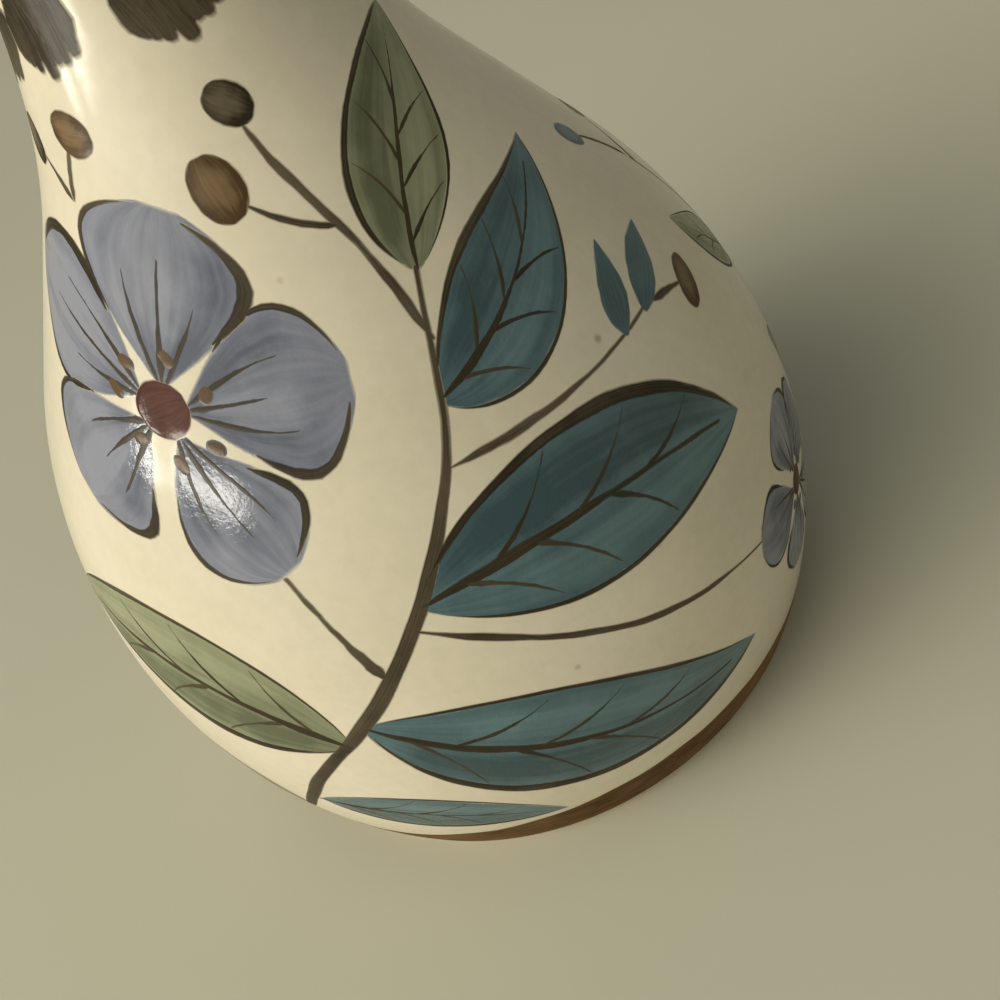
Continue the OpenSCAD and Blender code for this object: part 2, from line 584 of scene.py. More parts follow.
class Brush:
    """Collects strokes of one slip as closed, lens-like skins, drawn flat in millimetres."""

    ATTRIBUTES = ("cover", "across", "along", "tone", "seed", "anchor_angle")

    # Seeds of neighbouring strokes and of a stroke's two sides, and the small lifts that keep strokes apart
    SEED_STEP = 1.37
    SIDE_SEED = 3.0
    LAYERS = 5
    LAYER_LIFT = 0.0006

    # Widest column and least half width of a stroke, in millimetres, and the most of it that is soft edge
    COLUMN = 0.7
    LEAST_HALF = 0.03
    MOST_SOFT = 0.6
    # How far in a stroke reaches its full height, against where it covers fully
    RISE = 1.2

    def __init__(self):
        self.points = []
        self.faces = []
        self.values = {name: [] for name in self.ATTRIBUTES}
        self.beds = []
        self.count = 0

    def columns(self, widest, soft):
        """Places across a stroke, from -1 to 1, with two in each soft edge."""
        rim = soft / widest
        inner = max(2, math.ceil(2.0 * widest * (1.0 - rim) / self.COLUMN))
        middle = [(1.0 - rim) * (2.0 * k / inner - 1.0) for k in range(inner + 1)]
        return [-1.0, -1.0 + rim * 0.5, *middle, 1.0 - rim * 0.5, 1.0]

    def stroke(
        self, anchor, spine, half_width, lift=WASH_LIFT, steps=10, fray=0.05, soft=0.35, tone=0.5, bed=None
    ):
        """spine(t) gives (x, y) from the anchor and half_width(t) the brush's half width, for t from 0 to 1.

        tone(t, side) is 0 where the brush is full and 1 where it is dry, and bed(t, side) gives the colour
        of an earlier wash that lies under the stroke.
        """
        self.count += 1
        seed = self.count * self.SEED_STEP
        lift += self.LAYER_LIFT * (self.count % self.LAYERS)
        stops = even_stops(spine, steps)
        last = len(stops) - 1
        middle = [Vector(spine(t)) for t in stops]
        reach = run_length(middle)
        widest = max(half_width(t) for t in stops)
        soft = min(soft, self.MOST_SOFT * widest)
        sides = self.columns(widest, soft)
        first = len(self.points)
        for k, t in enumerate(stops):
            ahead = (middle[min(k + 1, last)] - middle[max(k - 1, 0)]).normalized()
            left = Vector((-ahead.y, ahead.x))
            end = min(reach[k], reach[-1] - reach[k])
            for w in sides:
                unsteady = ripple(t, seed + (self.SIDE_SEED if w > 0.0 else 0.0))
                half = max(half_width(t) * (1.0 + fray * unsteady), self.LEAST_HALF)
                spot = middle[k] + left * (w * half)
                edge = min((1.0 - abs(w)) * half, end)
                height = -EDGE_DIP + (lift + EDGE_DIP) * smooth_step(edge / (soft * self.RISE))
                load = tone(t, w) if callable(tone) else tone
                notes = (smooth_step(edge / soft), w, t, load, seed, anchor[0])
                self.put((spot.x, anchor[1] + spot.y, height), notes, bed(t, w) if bed else BARE)
        self.close(first)
        self.skin(first, last, len(sides) - 1)

    def put(self, point, notes, bed=BARE):
        """One point of the upper skin, with its notes in the order of the attributes."""
        self.points.append(point)
        for name, value in zip(self.ATTRIBUTES, notes):
            self.values[name].append(value)
        self.beds.append(bed)

    def close(self, first):
        """Adds the lower skin, which repeats the upper one's notes."""
        self.points += [(x, y, -PAINT_DEPTH) for x, y, _ in self.points[first:]]
        for name in self.ATTRIBUTES:
            self.values[name] += self.values[name][first:]
        self.beds += self.beds[first:]

    def skin(self, first, rows, columns, ring=False):
        """Faces over the upper and lower grids and round their rim; a ring's last row meets its first."""
        wide = columns + 1
        lines = rows if ring else rows + 1
        under = lines * wide

        def at(i, j):
            return first + i % lines * wide + j

        for i in range(rows):
            for j in range(columns):
                quad = (at(i, j), at(i + 1, j), at(i + 1, j + 1), at(i, j + 1))
                self.faces.append(quad)
                self.faces.append(tuple(corner + under for corner in reversed(quad)))
        rim = [(at(i, 0), at(i + 1, 0)) for i in range(rows)]
        rim += [(at(i + 1, columns), at(i, columns)) for i in range(rows)]
        if not ring:
            rim += [(at(rows, j), at(rows, j + 1)) for j in range(columns)]
            rim += [(at(0, j + 1), at(0, j)) for j in range(columns)]
        for here, there in rim:
            self.faces.append((here + under, there + under, there, here))

    def mesh(self, name):
        """The strokes as one flat mesh, in metres."""
        mesh = bpy.data.meshes.new(name)
        points = [(x * MM, y * MM, z * MM) for x, y, z in self.points]
        mesh.from_pydata(points, [], self.faces, shade_flat=False)
        for key, values in self.values.items():
            mesh.attributes.new(key, "FLOAT", "POINT").data.foreach_set("value", values)
        beds = [part for bed in self.beds for part in bed]
        mesh.attributes.new("bed", "FLOAT_COLOR", "POINT").data.foreach_set("color", beds)
        return mesh


def lay(name, brush, path, finish):
    """Lays one slip on the wall as one piece."""
    obj = place(name, brush.mesh(name))
    shade(run_tree(obj, painting_tree(), {"Wall Path": path, "Finish": finish}), PAINT_EDGE)
    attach(obj, BODY)
    return obj


# Shapes that the brush makes


def bowed(start, end, bend):
    """A stroke from start to end that bows to its left by a share of its length."""
    a, b = Vector(start), Vector(end)
    run = b - a
    middle = (a + b) / 2.0 + Vector((-run.y, run.x)) * bend

    def spine(t):
        return a * (1.0 - t) ** 2 + middle * (2.0 * t * (1.0 - t)) + b * t * t

    return spine


def through(points):
    """A smooth stroke through points."""
    spots = [Vector(p) for p in points]
    spots = [spots[0] * 2.0 - spots[1]] + spots + [spots[-1] * 2.0 - spots[-2]]
    spans = len(spots) - 3

    def spine(t):
        k = min(int(t * spans), spans - 1)
        u = t * spans - k
        p0, p1, p2, p3 = spots[k : k + 4]
        bend = p0 * 2.0 - p1 * 5.0 + p2 * 4.0 - p3
        twist = p1 * 3.0 - p0 - p2 * 3.0 + p3
        return (p1 * 2.0 + (p2 - p0) * u + bend * u * u + twist * u**3) * 0.5

    return spine


def part_of(spine, low, high):
    return lambda t: spine(low + (high - low) * t)


def steady(value):
    return lambda t: value


def beside(spine, offset, share=1.0):
    """A stroke that runs beside another by a share of offset(t), to its left where that is positive."""
    step = 0.01

    def shifted(t):
        ahead = Vector(spine(min(t + step, 1.0))) - Vector(spine(max(t - step, 0.0)))
        ahead.normalize()
        return Vector(spine(t)) + Vector((-ahead.y, ahead.x)) * (offset(t) * share)

    return shifted


def swell(half, skew, fullness):
    """Width of a stroke that swells from nothing and closes again; skew moves its widest place along."""
    return lambda t: half * max(math.sin(math.pi * t**skew), 0.0) ** fullness


def leaf_width(half):
    return swell(half, skew=0.85, fullness=0.85)


def petal_width(half):
    return swell(half, skew=1.55, fullness=0.62)


def line_width(half):
    return lambda t: half * (0.3 + 0.7 * max(math.sin(math.pi * t), 0.0) ** 0.6)


def taper(half, start, loss):
    """Width of a line that starts at a share of its width, fills out soon, and loses a share by its end."""
    return lambda t: half * (1.0 - loss * t) * (start + (1.0 - start) * smooth_step(6.0 * t))


def stem_width(half):
    return taper(half, start=0.4, loss=0.55)


def vein_width(half):
    return taper(half, start=0.5, loss=0.6)


def round_width(half):
    return lambda t: half * math.sqrt(max(1.0 - (2.0 * t - 1.0) ** 2, 0.0))


def on_wash(under, side=0.0):
    """The colour under a stroke that lies on a wash, or that runs along one side of it."""

    def bed(t, w):
        if side and w * side >= 0.0:
            return BARE
        return under

    return bed


class Touch(NamedTuple):
    """A darker or paler place in a wash, by its place and reach across it and its start and end along it."""

    across: float
    reach: float
    start: float
    end: float
    change: float

    def at(self, t, w, seed, wander=0.09, fade=0.18):
        """Change of tone at a place in the wash; the touch wanders across it and fades at its ends."""
        middle = wander * ripple(t, seed + 3.0 * self.across)
        off = abs(w - self.across - middle) / self.reach
        inside = min(t - self.start, self.end - t) / fade
        return self.change * smooth_step(1.5 * (1.0 - off)) * smooth_step(inside)


class Spray:
    """One painted group about an anchor on the wall, mirrored and sized as asked."""

    # Lines of a leaf as shares of its half width, and the places of its side veins along and across it
    LEAF_EDGES = (0.05, 0.095)
    LEAF_RIB = 0.1
    LEAF_VEIN = 0.06
    VEIN_PAIRS = 3
    VEIN_START = 0.14
    VEIN_STEP = 0.2
    VEIN_SHIFT = 0.05
    VEIN_REACH = 0.86
    VEIN_BEND = 0.14

    # Sizes of a blossom as shares of its radius
    PETAL_START = 0.10
    PETAL_REACH = (0.92, 1.1)
    PETAL_HALF = (0.39, 0.46)
    PETAL_FINE_EDGE = 0.024
    PETAL_BROAD_EDGE = (0.034, 0.046)
    PETAL_VEIN = 0.03
    STAMENS = 7
    STAMEN_REACH = (0.24, 0.32)
    STAMEN = 0.045
    HEART = 0.15

    # Streaks and veins of a petal by their places across it, and how the streaks may change its tone
    PETAL_STREAKS = (-0.55, 0.0, 0.55)
    STREAK_CHANGES = (-0.42, -0.3, 0.35)
    PETAL_VEINS = (-0.42, 0.0, 0.42)

    # Half width of a berry's twig, in millimetres
    TWIG = 0.6

    def __init__(self, brushes, turn, distance, seed, flip=1.0, grow=1.0):
        self.brushes = brushes
        self.anchor = (turn, distance)
        self.chance = random.Random(seed)
        self.flip = flip
        self.grow = grow

    def spot(self, point):
        return Vector((point[0] * self.flip * self.grow, point[1] * self.grow))

    def bow(self, start, end, bend):
        return bowed(self.spot(start), self.spot(end), bend * self.flip)

    def draw(self, slip, spine, width, **options):
        options.setdefault("tone", self.chance.uniform(0.2, 0.8))
        self.brushes[slip].stroke(self.anchor, spine, width, **options)

    def line(self, spine, width, **options):
        self.draw("umber", spine, width, lift=LINE_LIFT, **options)

    def wash(self, slip, spine, width, soft, touches):
        """Lays a wash with darker and paler touches worked into it, and gives the colour that it dries to."""
        tone = self.chance.uniform(0.5, 0.68)
        seed = self.chance.uniform(0.0, 20.0)

        def loaded(t, w):
            return sum((touch.at(t, w, seed) for touch in touches), tone)

        self.draw(slip, spine, width, steps=40, fray=0.04, soft=soft, tone=loaded)
        dried = LOADED + (SLIPS[slip].dry_shade - LOADED) * tone
        return opaque(Vector(getattr(colours(), slip)), dried)

    def edges(self, spine, width, under, weights, low=0.02, high=0.98, inset=0.6):
        """Brush lines along both sides of a wash, each with its own weight."""
        for side, weight in zip((-1.0, 1.0), weights):
            rim = beside(spine, width, side)
            path = part_of(beside(rim, steady(weight * inset), -side), low, high)
            tone = self.chance.uniform(0.05, 0.3)
            self.line(path, line_width(weight), steps=28, fray=0.2, tone=tone, bed=on_wash(under, side))

    def leaf(self, slip, base, tip, half, bend):
        """A wash with a dark and a pale side, two brushed edges, a rib and side veins."""
        spine = self.bow(base, tip, bend)
        half *= self.grow
        width = leaf_width(half)
        heavy = self.chance.choice((-1.0, 1.0))
        dark = Touch(across=heavy * 0.48, reach=0.46, start=0.02, end=0.95, change=-0.5)
        pale = Touch(across=-heavy * 0.5, reach=0.3, start=0.12, end=0.88, change=0.35)
        under = self.wash(slip, spine, width, 0.6, [dark, pale])
        bed = on_wash(under)
        weights = [share * half for share in self.LEAF_EDGES]
        self.edges(spine, width, under, weights if heavy > 0.0 else weights[::-1])
        rib = part_of(spine, 0.0, 0.9)
        self.line(rib, vein_width(self.LEAF_RIB * half), fray=0.25, tone=0.3, bed=bed)
        for k in range(self.VEIN_PAIRS):
            for side in (-1.0, 1.0):
                t = self.VEIN_START + self.VEIN_STEP * k + self.VEIN_SHIFT * side
                t += self.chance.uniform(-0.02, 0.02)
                end = beside(spine, width, side * self.VEIN_REACH)(t + self.VEIN_STEP)
                vein = bowed(spine(t), end, -self.VEIN_BEND * side)
                self.line(vein, vein_width(self.LEAF_VEIN * half), fray=0.3, bed=bed)

    def pooled(self):
        """Tone of a full drop of slip, which dries pale in the middle and pools in blots along its rim."""
        seed = self.chance.uniform(0.0, 20.0)

        def tone(t, w):
            ahead = 2.0 * t - 1.0
            out = math.hypot(ahead, w * math.sqrt(max(1.0 - ahead * ahead, 0.0)))
            turn = math.atan2(w, ahead) / math.tau
            return 0.85 - 0.8 * smooth_step((out + 0.22 * ripple(turn, seed) - 0.30) / 0.6)

        return tone

    def dot(self, slip, centre, radius, stretch=1.25, tone=0.4, bed=None):
        ahead = heading(self.chance.uniform(0.0, math.pi)) * radius * stretch
        spine = bowed(centre - ahead, centre + ahead, 0.05)
        self.draw(slip, spine, round_width(radius), lift=DOT_LIFT, steps=30, fray=0.03, tone=tone, bed=bed)

    def drop(self, slip, centre, radius):
        """A loaded brush's round drop."""
        self.dot(slip, self.spot(centre), radius, stretch=1.2, tone=self.pooled())

    def berry(self, slip, base, centre, radius, bend):
        """A drop on a twig."""
        self.line(self.bow(base, centre, bend), stem_width(self.TWIG), steps=18, fray=0.2)
        self.drop(slip, centre, radius * self.grow)

    def bud(self, slip, base, tip, half, bend):
        spine = self.bow(base, tip, bend)
        self.draw(slip, spine, leaf_width(half * self.grow), lift=DOT_LIFT, steps=32, fray=0.06, tone=0.4)

    def stem(self, points, half):
        spine = through([self.spot(p) for p in points])
        self.line(spine, stem_width(half), steps=12 * len(points), fray=0.3)

    def petal(self, slip, middle, radius, aim):
        """A streaked wash with two brushed edges and three veins; gives the colour under what lies on it."""
        vary = self.chance.uniform
        ahead = heading(aim)
        far = radius * vary(*self.PETAL_REACH)
        width = petal_width(radius * vary(*self.PETAL_HALF))
        start = middle + ahead * radius * self.PETAL_START
        spine = bowed(start, middle + ahead * far, vary(-0.1, 0.1))
        touches = [Touch(across=0.0, reach=1.3, start=-0.2, end=0.4, change=-0.25)]
        for across in self.PETAL_STREAKS:
            low, high = vary(0.0, 0.25), vary(0.68, 0.97)
            change = self.chance.choice(self.STREAK_CHANGES)
            touches.append(Touch(across + vary(-0.1, 0.1), 0.34, low, high, change))
        under = self.wash(slip, spine, width, 0.9, touches)
        bed = on_wash(under)
        fine, broad = radius * self.PETAL_FINE_EDGE, radius * vary(*self.PETAL_BROAD_EDGE)
        weights = self.chance.choice(((fine, broad), (broad, fine)))
        self.edges(spine, width, under, weights, low=0.3, inset=0.9)
        for share in self.PETAL_VEINS:
            vein = part_of(beside(spine, width, share), 0.04, vary(0.5, 0.78))
            self.line(vein, vein_width(radius * self.PETAL_VEIN), fray=0.3, tone=0.5, bed=bed)
        return bed

    def blossom(self, slip, centre, radius, count, turn):
        """Petals round a heart, with stamens."""
        middle = self.spot(centre)
        radius *= self.grow
        for k in range(count):
            aim = turn * self.flip + math.tau * k / count + self.chance.uniform(-0.1, 0.1)
            bed = self.petal(slip, middle, radius, aim)
        for k in range(self.STAMENS):
            aim = math.tau * (k + 0.3 * self.chance.random()) / self.STAMENS
            far = radius * self.chance.uniform(*self.STAMEN_REACH)
            self.dot("rust", middle + heading(aim) * far, radius * self.STAMEN, bed=bed)
        self.dot("maroon", middle, radius * self.HEART, stretch=1.1)


def paint_spray(group):
    """The main group: a vine with long leaves, an open blossom, a small blossom, berries and buds.

    Points are millimetres round the wall and up it from the group's anchor.
    """
    group.stem([(-44, -51), (-25, -26), (-5, -8), (9, 10), (14, 28)], 1.3)
    group.stem([(-6, -9), (-8, -3), (-10.4, 5.6)], 0.9)
    group.stem([(-1.2, -3.6), (22, -17), (43, -24)], 0.8)
    group.stem([(9.0, 10.2), (24, 9.6), (40, 9.5)], 0.7)
    group.stem([(13, 21), (10, 31), (5.5, 41), (4, 46)], 0.8)
    group.leaf("teal", (-12.4, -14.4), (36, -36), 9.5, -0.15)
    group.leaf("teal", (0.6, -1.6), (47, -8), 9.0, 0.15)
    group.leaf("teal", (10.8, 16), (34, 30), 7.2, -0.14)
    group.leaf("teal", (-28, -31), (2, -44), 5.0, 0.12)
    group.leaf("sage", (-15, -18), (-52, -3), 9.0, -0.17)
    group.leaf("sage", (-33, -37), (-63, -29), 6.4, -0.15)
    group.leaf("sage", (14, 27), (25, 47), 6.2, 0.18)
    group.blossom("lavender", (-15, 23), 20.0, 5, 1.2)
    group.blossom("lavender", (56, -27), 14.0, 5, 0.4)
    group.berry("rust", (9, 34), (0, 41), 2.7, 0.15)
    group.drop("umber", (4, 47), 2.0)
    group.berry("rust", (-16, 42), (-12, 48), 2.2, 0.12)
    group.berry("umber", (-16, 42), (-20, 47), 1.9, -0.12)
    group.bud("teal", (38, 9), (45, 15), 2.8, 0.05)
    group.berry("rust", (40, 9), (49, 6), 2.4, 0.05)
    group.bud("teal", (34, 9), (36, 18), 2.4, 0.05)


def paint_sprig(group):
    """A lesser group between the main ones: a stem with leaves and berries."""
    group.stem([(1, -47), (-3, -26), (3, -6), (-1, 18)], 0.8)
    group.leaf("sage", (-3, -24), (-10, -10), 3.4, -0.15)
    group.leaf("teal", (1, -13), (15, 1), 4.6, 0.15)
    group.leaf("sage", (2, -2), (-10, 13), 4.2, 0.15)
    group.berry("rust", (-1, 16), (6, 24), 2.0, 0.1)
    group.berry("teal", (-1, 18), (-6, 27), 1.8, -0.1)


# Finishes


def ground_group():
    """The cream ground on Object coordinates, so that the wall and the thin edges of the paint agree."""
    name = "cream_ground"
    if name in bpy.data.node_groups:
        return bpy.data.node_groups[name]
    tree = bpy.data.node_groups.new(name, "ShaderNodeTree")
    tree.interface.new_socket(name="Color", in_out="OUTPUT", socket_type="NodeSocketColor")
    base = Vector(colours().cream)
    warm = base * 0.94
    warm.z *= 0.95
    speck_brown = (0.20, 0.13, 0.07, 1.0)
    spot = object_spot(tree)
    cloud = noise(tree, spot, scale=38.0, detail=4.0, roughness=0.55)
    tint = mixed(tree, spread(tree, cloud, 0.32, 0.68), opaque(warm), opaque(base, 1.05))
    grain = noise(tree, spot, scale=620.0, detail=3.0, roughness=0.6)
    fine = spread(tree, grain, 0.3, 0.7, to_low=0.97, to_high=1.03)
    grained = mixed(tree, 1.0, tint, fine, blend_type="MULTIPLY")
    cells = add(tree, "ShaderNodeTexVoronoi", {"Vector": spot, "Scale": 210.0})
    pick = add(tree, "ShaderNodeSeparateColor", {0: cells.outputs["Color"]}).outputs[0]
    near = spread(tree, cells.outputs["Distance"], 0.04, 0.13, to_low=0.55, to_high=0.0)
    speck = maths(tree, "MULTIPLY", maths(tree, "GREATER_THAN", pick, 0.90), near)
    specked = mixed(tree, speck, grained, speck_brown)
    tree.links.new(specked, tree.nodes.new("NodeGroupOutput").inputs[0])
    return tree


def new_finish(name):
    """A material with a shader and nothing else on it."""
    material = bpy.data.materials.new(name)
    material.use_nodes = True
    tree = material.node_tree
    return material, tree, tree.nodes["Principled BSDF"]


def glaze_gloss(shader, roughness, coat, coat_roughness):
    """The glassy coat of a glazed place."""
    shader.inputs["Roughness"].default_value = roughness
    shader.inputs["Specular IOR Level"].default_value = 0.0
    shader.inputs["Coat Weight"].default_value = coat
    shader.inputs["Coat Roughness"].default_value = coat_roughness
    shader.inputs["Coat IOR"].default_value = 1.5


def bumped(tree, shader, height, strength, distance):
    """Relief for the body of the finish and for its glassy coat."""
    bump = add(tree, "ShaderNodeBump", {"Height": height, "Strength": strength, "Distance": distance})
    tree.links.new(bump.outputs[0], shader.inputs["Normal"])
    tree.links.new(bump.outputs[0], shader.inputs["Coat Normal"])


def cream_finish():
    """Satin cream glaze with slow throwing waves and a fine peel."""
    name = "satin_cream_finish"
    if name in bpy.data.materials:
        return bpy.data.materials[name]
    material, tree, shader = new_finish(name)
    ground = add(tree, "ShaderNodeGroup", node_tree=ground_group())
    tree.links.new(ground.outputs[0], shader.inputs["Base Color"])
    spot = object_spot(tree)
    waves = noise(tree, spot, scale=55.0, detail=1.0)
    peel = maths(tree, "MULTIPLY", noise(tree, spot, scale=420.0, detail=2.0), 0.12)
    glaze_gloss(shader, roughness=0.32, coat=0.80, coat_roughness=0.15)
    bumped(tree, shader, maths(tree, "ADD", waves, peel), strength=0.35, distance=0.6 * MM)
    return material


def clay_finish():
    """Bare gritty clay."""
    name = "gritty_clay_finish"
    if name in bpy.data.materials:
        return bpy.data.materials[name]
    material, tree, shader = new_finish(name)
    base = Vector(colours().clay)
    spot = object_spot(tree)
    grit = noise(tree, spot, scale=900.0, detail=5.0, roughness=0.7)
    cloud = noise(tree, spot, scale=70.0, detail=3.0)
    tone = spread(tree, maths(tree, "ADD", grit, cloud), 0.75, 1.25)
    tree.links.new(mixed(tree, tone, opaque(base, 0.72), opaque(base, 1.2)), shader.inputs["Base Color"])
    shader.inputs["Roughness"].default_value = 0.82
    bumped(tree, shader, grit, strength=0.6, distance=0.3 * MM)
    return material


def slip_finish(slip):
    """A brushed slip under glaze: streaked, changed at its rim, and thinning into what lies under it."""
    name = slip + "_slip_finish"
    if name in bpy.data.materials:
        return bpy.data.materials[name]
    material, tree, shader = new_finish(name)
    look = SLIPS[slip]
    base = Vector(getattr(colours(), slip))

    def value(attribute):
        return add(tree, "ShaderNodeAttribute", attribute_name=attribute).outputs["Fac"]

    spot = object_spot(tree)
    across, along = value("across"), value("along")
    lane = maths(tree, "MULTIPLY", across, 5.0)
    hair = add(tree, "ShaderNodeCombineXYZ", {"X": lane, "Y": along, "Z": value("seed")}).outputs[0]
    streak = noise(tree, hair, scale=1.6, detail=3.0)
    cloud = noise(tree, spot, scale=150.0, detail=5.0, roughness=0.6)
    uneven = spread(tree, maths(tree, "ADD", streak, cloud), 0.7, 1.3, to_low=-0.3, to_high=0.3)
    drier = spread(tree, along, 0.0, 1.0, to_low=-0.16, to_high=0.16)
    load = maths(tree, "ADD", maths(tree, "ADD", uneven, drier), value("tone"), use_clamp=True)
    wash = mixed(tree, load, opaque(base, LOADED), opaque(base, look.dry_shade))
    at_rim = spread(tree, maths(tree, "ABSOLUTE", across), 0.72, 0.97, to_high=0.55)
    rimmed = mixed(tree, at_rim, wash, opaque(base, look.rim_shade))
    ragged = maths(tree, "ADD", value("cover"), spread(tree, cloud, 0.3, 0.7, to_low=-0.14, to_high=0.14))
    thinned = spread(tree, load, 0.0, 1.0, to_low=1.0, to_high=1.0 - look.thin_when_dry)
    cover = maths(tree, "MULTIPLY", spread(tree, ragged, 0.14, 0.86), thinned)
    under = add(tree, "ShaderNodeAttribute", attribute_name="bed").outputs
    ground = add(tree, "ShaderNodeGroup", node_tree=ground_group()).outputs[0]
    bed = mixed(tree, under["Alpha"], ground, under["Color"])
    tree.links.new(mixed(tree, cover, bed, rimmed), shader.inputs["Base Color"])
    glaze_gloss(shader, roughness=0.35, coat=look.glaze, coat_roughness=look.haze)
    pits = noise(tree, spot, scale=900.0, detail=4.0, roughness=0.65)
    bumped(tree, shader, pits, strength=look.relief, distance=0.18 * MM)
    return material


# Operators


class BUDVASE_OT_foot(bpy.types.Operator):
    """Turn the bare ring under the vase and finish the floor in bare clay"""

    bl_idname = "bud_vase.foot"
    bl_label = "Foot Ring and Floor"

    def execute(self, context):
        s = sizes()
        outer = Outline(s).at(0.0)[0] - s.ring_inset
        inner = outer - s.ring_width
        soft, steps = 0.5 * MM, 6
        quarter = math.pi / 2.0
        section = arc_points((outer - soft, soft), soft, -quarter, 0.0, steps)
        section += [(outer, s.ring_height), (inner, s.ring_height)]
        section += arc_points((inner + soft, soft), soft, math.pi, math.pi + quarter, steps)
        ring = turned_piece("turned_foot_ring", section, clay_finish())
        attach(ring, BODY)
        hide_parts("foot_ring")
        for place_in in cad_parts["base_disc"].material_slots:
            place_in.material = clay_finish()
        return {"FINISHED"}


class BUDVASE_OT_walls(bpy.types.Operator):
    """Turn the belly, the shoulder and the neck with its lip, half-lapped into each other"""

    bl_idname = "bud_vase.walls"
    bl_label = "Belly, Shoulder and Neck"

    def execute(self, context):
        s = sizes()
        o = Outline(s)
        fine, coarse = 0.7 * MM, 2.0 * MM
        seam_1, tongue_1, lap_1 = o.seam(s.belly_seam, s.lap)
        seam_2, tongue_2, lap_2 = o.seam(s.neck_seam, s.lap)
        flange_r = self.inner_radius(s) + s.rebate
        flange_z = s.ring_height + s.floor_thickness / 2.0
        flange = [(flange_r, flange_z), (flange_r, s.ring_height)]
        seat = o.find(flange_z, s.wall)

        belly = o.run(0.0, seam_1, fine) + lap_1
        belly += o.run(tongue_1, seat, coarse, s.wall) + flange
        shoulder = o.run(seam_1, seam_2, fine) + lap_2
        shoulder += o.run(tongue_2, tongue_1, coarse, s.wall) + lap_1[::-1]
        neck = o.run(seam_2, o.top, fine) + self.lip(s, o)
        neck += o.run(o.top, tongue_2, coarse, s.wall) + lap_2[::-1]

        for name, node, section in (
            ("turned_belly", "belly_wall", belly),
            ("turned_shoulder", "shoulder_wall", shoulder),
            ("turned_neck_and_lip", "neck_lip", neck),
        ):
            piece = turned_piece(name, section, cream_finish())
            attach(piece, BODY)
            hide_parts(node)
        return {"FINISHED"}

    @staticmethod
    def inner_radius(s):
        """Radius of the wall's inner face level with the top of the foot ring."""
        rise = s.ring_height - s.belly_height
        return s.belly_radius - s.belly_arc + math.sqrt((s.belly_arc - s.wall) ** 2 - rise**2)

    @staticmethod
    def lip(s, o):
        """The flared strip and the rolled bead, from the outside of the neck over to its inside."""
        centre = o.flare_centre
        near, far = s.flare_arc, s.flare_arc + s.wall
        middle = s.flare_arc + s.wall / 2.0
        flare_steps, bead_steps = 24, 40

        def meeting(radius):
            share = (radius**2 + middle**2 - s.bead_radius**2) / (2.0 * radius * middle)
            return s.flare_angle - math.acos(share)

        def on_flare(radius, turn):
            return centre[0] - radius * math.cos(turn), centre[1] + radius * math.sin(turn)

        def flare(radius):
            end = meeting(radius)
            return [on_flare(radius, end * k / flare_steps) for k in range(flare_steps + 1)]

        bead = on_flare(middle, s.flare_angle)
        outside, inside = flare(near), flare(far)[::-1]
        start, end = (math.atan2(z - bead[1], r - bead[0]) for r, z in (outside[-1], inside[0]))
        if end < start:
            end += math.tau
        return outside + arc_points(bead, s.bead_radius, start, end, bead_steps) + inside


class BUDVASE_OT_foot_band(bpy.types.Operator):
    """Brush the band of brown slip round the foot"""

    bl_idname = "bud_vase.foot_band"
    bl_label = "Foot Band"

    # Steps round the foot, shares of the band's height, and how far the streaks are drawn out round it
    AROUND = 480
    SHARES = (0.0, 0.03, 0.06, 0.14, 0.26, 0.38, 0.5, 0.62, 0.74, 0.86, 0.93, 0.97, 1.0)
    STREAKS = 40.0
    # The band's lower edge and its soft rims, in millimetres, and where it is broadest round the foot
    LOW = 0.25
    ROUNDED = 0.7
    SOFT = 0.4
    BROADEST = math.radians(-118.0)

    def execute(self, context):
        s = sizes()
        outline = Outline(s)
        height = outline.find(s.ring_height + s.band_height) / MM
        brush = Brush()
        for k in range(self.AROUND):
            self.column(brush, k / self.AROUND, height)
        brush.close(0)
        brush.skin(0, self.AROUND, len(self.SHARES) - 1, ring=True)
        path = wall_path(outline)
        band = lay("brushed_foot_band", brush, path, slip_finish("brown"))
        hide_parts("foot_band")
        drop(path)
        return {"FINISHED"}

    def column(self, brush, share, height):
        """The band's points at one place round the foot, where the hand has wavered a little."""
        turn = math.tau * share
        wave = 0.35 * math.sin(3.0 * turn + 0.7) + 0.22 * math.sin(7.0 * turn) + 0.14 * math.sin(29.0 * turn)
        high = height * (0.82 + 0.26 * math.cos(turn - self.BROADEST)) + wave * 0.7
        tone = 0.35 + 0.22 * math.sin(2.0 * turn + 2.4) + 0.12 * math.sin(5.0 * turn)
        for part in self.SHARES:
            level = self.LOW + (high - self.LOW) * part
            edge = min(level - self.LOW, high - level)
            lift = -EDGE_DIP + (BAND_LIFT + EDGE_DIP) * smooth_step(edge / self.ROUNDED)
            cover = smooth_step((high - level) / self.SOFT)
            notes = (cover, 2.0 * part - 1.0, share * self.STREAKS, tone, 0.0, turn)
            brush.put((0.0, level, lift), notes)


